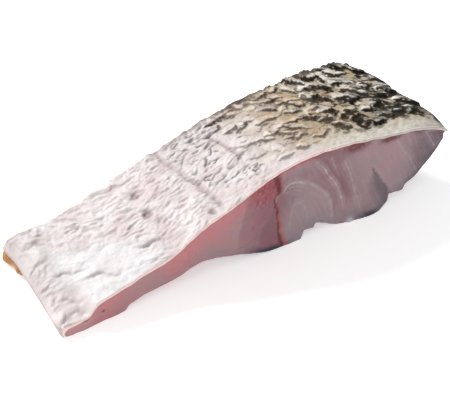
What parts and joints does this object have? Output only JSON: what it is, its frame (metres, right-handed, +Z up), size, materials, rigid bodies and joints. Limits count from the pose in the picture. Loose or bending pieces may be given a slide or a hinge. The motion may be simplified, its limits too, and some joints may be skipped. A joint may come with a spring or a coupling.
{
  "type": "raw barramundi fillet portion",
  "caption": "Raw skin-on barramundi fillet portion lying skin side up, thick along the back and tapering to a thin belly flap, with straight cuts showing the flesh.",
  "frame": {"origin": "on the resting plane, under the middle of the plan box", "axes": "+X from the thin belly end to the thick back edge, +Y from the front cut to the rear cut, +Z up, out of the skin side"},
  "size_m": [0.185, 0.053, 0.0422],
  "materials": {
    "flesh": "moist raw fish flesh, pinkish grey and slightly translucent, with pale curved lines between the flakes and a dark red bloodline",
    "skin": "moist scaled fish skin, white and wrinkled on the belly, cream scale pockets with dark grey edges on the back"
  },
  "bodies": {
    "root": {"flesh": "flesh", "skin": "skin"}
  },
  "joints": []
}
